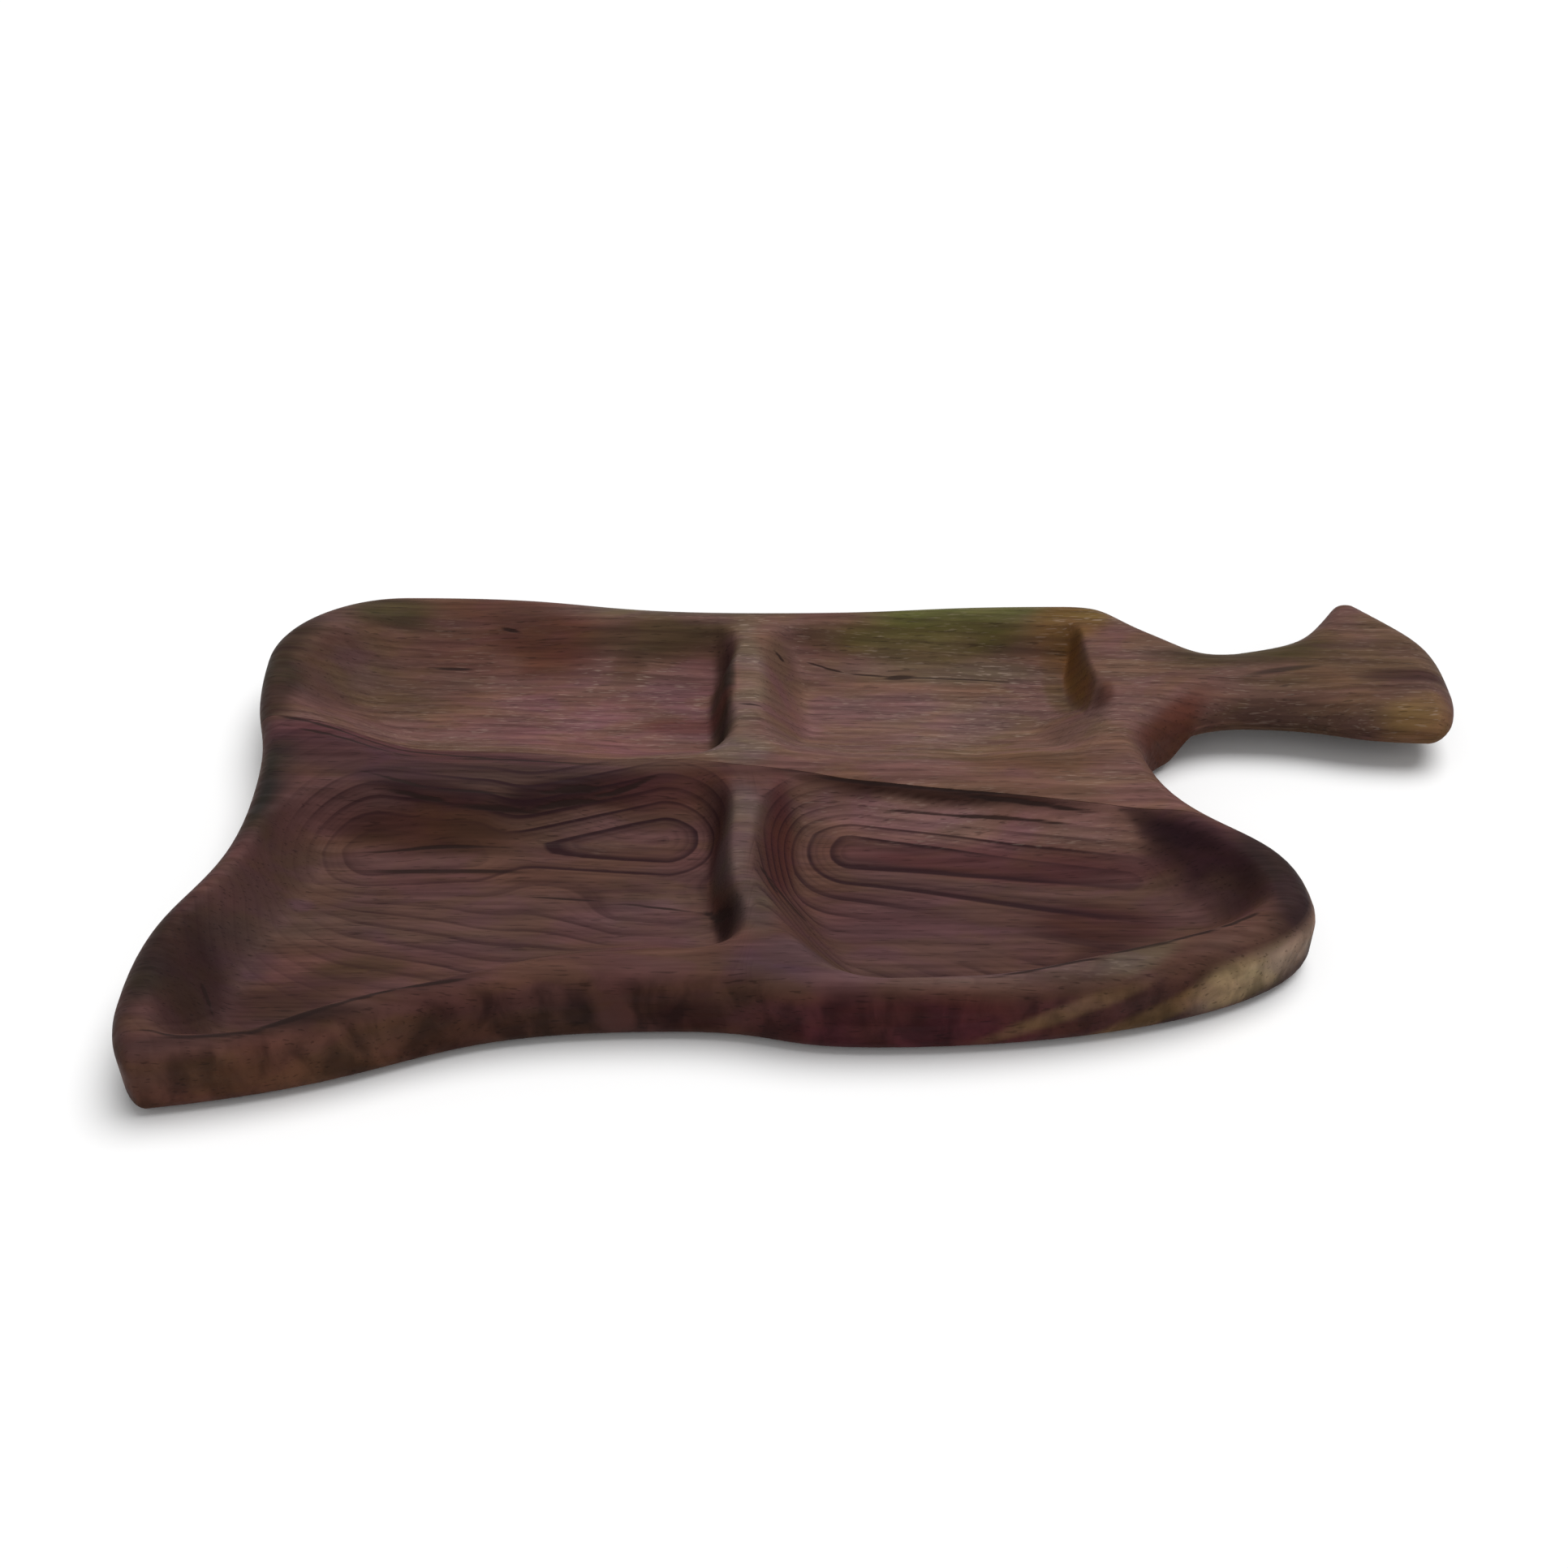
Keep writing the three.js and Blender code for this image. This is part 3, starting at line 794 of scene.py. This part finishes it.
# Noise in the wood: features per metre along x, y and z, detail, and twist.
grainPlan = {
    "bands": ((7, 170, 120), 3, 0),
    "fibres": ((20, 480, 320), 4, 0),
    "clouds": ((22, 45, 45), 3, 0),
    "smudges": ((38, 150, 110), 4, 0),
    "stains": ((30, 70, 60), 5, 0.6),
    "mottle": ((90, 90, 48), 6, 0.5),
    "flecks": ((170, 1900, 1200), 1, 0),
    "pores": ((120, 1500, 900), 1, 0),
    "drift": ((14, 42, 42), 2, 0),
}

# The finish that both boards share. A range holds the low and the high value that go in, and the
# two that come out. A cast holds where its noise turns, and the two tints, as factors of red, green
# and blue, that it turns between.
finishPlan = {
    "ringFade": (0.3, 0.55, 0.65, 1),  # clouds thin the rings
    "bands": (0.3, 0.7, 0.96, 1.04),
    "fibreSpan": (0.3, 0.7),  # from dark fibres and smudges to pale ones
    "endPlain": (0, 0.7, 0, 0.8),  # end grain hides the long fibres
    "mottle": (0.32, 0.68, 0.55, 1.45),
    "pores": (0.62, 0.72, 1, 0.6),
    "casts": {
        "clouds": (0.35, 0.65, (1.05, 0.97, 0.97), (0.96, 1.01, 1.01)),  # warm to cool
        "stains": (0.38, 0.62, (1.0, 1.03, 0.87), (1.0, 0.96, 1.05)),  # olive to plum
    },
    "fleckSpan": (0.6, 0.7),
    "fleckTop": (0, 0.6, 1, 0),  # flecks keep off the wall and the end grain
    "fleckPale": (0.04, 0.1, 0, 1),  # and off the dark wood
    "fleckPatches": (0.4, 0.6, 0.3, 1),
    "fleckColour": (188, 166, 150),
    "crackAndShadeLine": (0.5, 1.2, 0.85, 0),
    "crackAndShadeRagged": (0.3, 0.7, -0.3, 0.3),
    "crackAndShadeColour": (34, 22, 20),
    "crackAndShadeDepth": 1.5,  # in heights of the fibres
    "roughness": (0.3, 0.7, 0.7, 0.52),  # duller in the dark fibres
    "specular": 0.06,
    "reliefShow": 0.22,
    "reliefHeight": 0.0004,  # metres
}


# Oiled walnut: the board's shades, some of them painted shade, bands and fibres along the grain,
# ring lines that darken towards a crisp edge, pale flecks, dark pores, checks and painted shade
# lines, and a satin finish that is duller in dark fibres.
def walnut(name, wood):
    material = bpy.data.materials.new(name)
    material.use_nodes = True
    tree = material.node_tree
    shader = tree.nodes["Principled BSDF"]
    place = addNode(tree, "TexCoord", {}).outputs["Object"]
    tint = addNode(tree, "Attribute", {}, attribute_name="tint").outputs["Color"]
    rings, shown, wall, ends = [
        addNode(tree, "Attribute", {}, attribute_name=field).outputs["Fac"]
        for field in ("rings", "ringShow", "outerWall", "endGrain")
    ]
    noise = {kind: addNoise(tree, place, *row) for kind, row in grainPlan.items()}
    fibres, clouds = noise["fibres"], noise["clouds"]

    drift = addMath(tree, "SUBTRACT", noise["drift"], 0.5)
    phase = addMath(tree, "ADD", rings, addMath(tree, "MULTIPLY", drift, ringPlan["ripple"]))
    saw = addMath(tree, "FRACT", phase, 0)
    fineSaw = addMath(tree, "FRACT", addMath(tree, "MULTIPLY", phase, ringPlan["fineCount"]), 0)
    broad = addLine(tree, saw, *ringPlan["broad"])
    line = addLine(tree, saw, *ringPlan["line"])
    fine = addLine(tree, fineSaw, *ringPlan["fine"])
    ringDark = addMath(tree, "ADD", addMath(tree, "ADD", broad, line), fine)
    ringDark = addFactor(tree, ringDark, clouds, *finishPlan["ringFade"])
    ringDark = addMath(tree, "MULTIPLY", ringDark, shown)
    ringDark = addMath(tree, "MINIMUM", ringDark, ringPlan["darkest"])

    # lightness, with the long fibres lost in end grain and a mottle in their place on the wall
    value = addRange(tree, noise["bands"], *finishPlan["bands"])
    for kind in ("fibres", "smudges"):
        sway = (1 - wood[kind], 1 + wood[kind])
        value = addFactor(tree, value, noise[kind], *finishPlan["fibreSpan"], *sway)
    plain = addRange(tree, ends, *finishPlan["endPlain"])
    value = addNode(tree, "Mix", {0: plain, 2: value, 3: 1.0}).outputs[0]
    mottled = addRange(tree, noise["mottle"], *finishPlan["mottle"])
    value = addNode(tree, "Mix", {0: wall, 2: value, 3: mottled}).outputs[0]
    value = addFactor(tree, value, noise["pores"], *finishPlan["pores"])
    value = addFactor(tree, value, ends, 0, 1, 1, 1 - wood["endDark"])
    colour = addTint(tree, tint, value)

    for kind, (low, high, *tints) in finishPlan["casts"].items():
        pair = [addTint(tree, colour, factors) for factors in tints]
        colour = addBlend(tree, addRange(tree, noise[kind], low, high, 0, 1), *pair)
    colour = addBlend(tree, ringDark, colour, (*linear(wood["ringColour"]), 1))

    # flecks lie on the pale wood of the top
    pale = addRange(tree, noise["flecks"], *finishPlan["fleckSpan"], 0, wood["flecks"])
    pale = addFactor(tree, pale, addMath(tree, "ADD", wall, ends), *finishPlan["fleckTop"])
    lightness = addNode(tree, "RGBToBW", {0: tint}).outputs[0]
    pale = addFactor(tree, pale, lightness, *finishPlan["fleckPale"])
    pale = addFactor(tree, pale, clouds, *finishPlan["fleckPatches"])
    colour = addBlend(tree, pale, colour, (*linear(finishPlan["fleckColour"]), 1))

    # a mark, a check or crack or a painted shade line by a hollow's edge, is an ellipse with an
    # edge that the fibres make ragged
    crossX, crossY = dishPlan["crossing"]
    ragged = addRange(tree, fibres, *finishPlan["crackAndShadeRagged"])
    cracksAndShadeLines = 0.0
    for x, y, length, width, turn in wood["marks"]:
        spot = {
            "Vector": place,
            "Location": ((x + crossX) / perMetre, (y + crossY) / perMetre, 0),
            "Rotation": (0, 0, math.radians(turn)),
            "Scale": (length / perMetre, width / perMetre, 1),
        }
        local = addNode(tree, "Mapping", spot, vector_type="TEXTURE").outputs[0]
        reach = addNode(tree, "VectorMath", {0: local}, operation="LENGTH").outputs["Value"]
        reach = addMath(tree, "ADD", reach, ragged)
        crackAndShadeLine = addRange(tree, reach, *finishPlan["crackAndShadeLine"])
        cracksAndShadeLines = addMath(tree, "MAXIMUM", cracksAndShadeLines, crackAndShadeLine)
    colour = addBlend(tree, cracksAndShadeLines, colour, (*linear(finishPlan["crackAndShadeColour"]), 1))
    tree.links.new(colour, shader.inputs["Base Color"])

    roughness = addRange(tree, fibres, *finishPlan["roughness"])
    tree.links.new(roughness, shader.inputs["Roughness"])
    shader.inputs["Specular IOR Level"].default_value = finishPlan["specular"]
    sunk = addMath(tree, "MULTIPLY", cracksAndShadeLines, finishPlan["crackAndShadeDepth"])
    relief = {
        "Strength": finishPlan["reliefShow"],
        "Distance": finishPlan["reliefHeight"],
        "Height": addMath(tree, "SUBTRACT", fibres, sunk),
    }
    tree.links.new(addNode(tree, "Bump", relief).outputs[0], shader.inputs["Normal"])
    return material


for piece, node, slot, wood, phase in (
    (rearBoard, "rear_board", "rear_walnut", rearWood, straightPhase),
    (frontBoard, "front_board", "front_walnut", frontWood, ringPhase),
):
    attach(piece, "root")
    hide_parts(node)
    shadeBoard(piece, wood, phase)
    piece.data.materials.append(walnut(slot, wood))
print("walnut laid on")


# Rays that show the background itself, not the light that it throws on the dish.
def seenShare(tree):
    path = addNode(tree, "LightPath", {})
    seen = addMath(tree, "MAXIMUM", path.outputs["Is Camera Ray"], path.outputs["Is Glossy Ray"])
    return addMath(tree, "MAXIMUM", seen, path.outputs["Is Transmission Ray"])


# Camera at the photograph's angle. Here and below lengths are in metres, and the lens in mm.
cameraPlan = {
    "target": (-0.0222, 0.0045, 0.03),
    "distance": 0.7,
    "elevation": 40,
    "lens": 44.72,
    "sensor": 36,
}
down = math.radians(cameraPlan["elevation"])
cameraData = bpy.data.cameras.new("camera")
cameraData.lens = cameraPlan["lens"]
cameraData.sensor_width = cameraPlan["sensor"]
cameraData.sensor_fit = "HORIZONTAL"
camera = bpy.data.objects.new("camera", cameraData)
x, y, z = cameraPlan["target"]
back, up = cameraPlan["distance"] * math.cos(down), cameraPlan["distance"] * math.sin(down)
camera.location = (x, y - back, z + up)
camera.rotation_euler = (math.pi / 2 - down, 0, 0)
bpy.context.scene.collection.objects.link(camera)
bpy.context.scene.camera = camera

# A pale floor, white to the camera and duller for the light that it throws back at the dish.
floorPlan = {"half": 4, "seen": 1.0, "bounced": 0.35}
half = floorPlan["half"]
floorMesh = bpy.data.meshes.new("floor")
corners = [(-half, -half, 0), (half, -half, 0), (half, half, 0), (-half, half, 0)]
floorMesh.from_pydata(corners, [], [(0, 1, 2, 3)])
floorPaint = bpy.data.materials.new("floor")
floorPaint.use_nodes = True
tree = floorPaint.node_tree
shade = addRange(tree, seenShare(tree), 0, 1, floorPlan["bounced"], floorPlan["seen"])
paint = tree.nodes["Principled BSDF"].inputs
tree.links.new(shade, paint["Base Color"])
paint["Roughness"].default_value = 1
paint["Specular IOR Level"].default_value = 0
floorMesh.materials.append(floorPaint)
floor = bpy.data.objects.new("floor", floorMesh)
bpy.context.scene.collection.objects.link(floor)

# Soft light from the right and a little behind, and an even sky. A lamp holds the way towards it,
# its strength, and its softness in degrees.
lightPlan = {
    "key": ((0.28, 0.2, 0.95), 2.25, 45),
    "fill": ((0.1, -0.8, 0.55), 0.25, 80),
    "sky": 0.34,
}
for name in ("key", "fill"):
    towards, strength, softness = lightPlan[name]
    lamp = bpy.data.lights.new(name, "SUN")
    lamp.energy = strength
    lamp.angle = math.radians(softness)
    light = bpy.data.objects.new(name, lamp)
    light.rotation_euler = Vector(towards).to_track_quat("Z", "Y").to_euler()
    bpy.context.scene.collection.objects.link(light)

world = bpy.data.worlds.new("studio")
bpy.context.scene.world = world
world.use_nodes = True
tree = world.node_tree
tree.nodes["Background"].inputs["Color"].default_value = (1, 1, 1, 1)
skyLight = addRange(tree, seenShare(tree), 0, 1, lightPlan["sky"], 1)
tree.links.new(skyLight, tree.nodes["Background"].inputs["Strength"])
bpy.context.scene.view_settings.view_transform = "Standard"
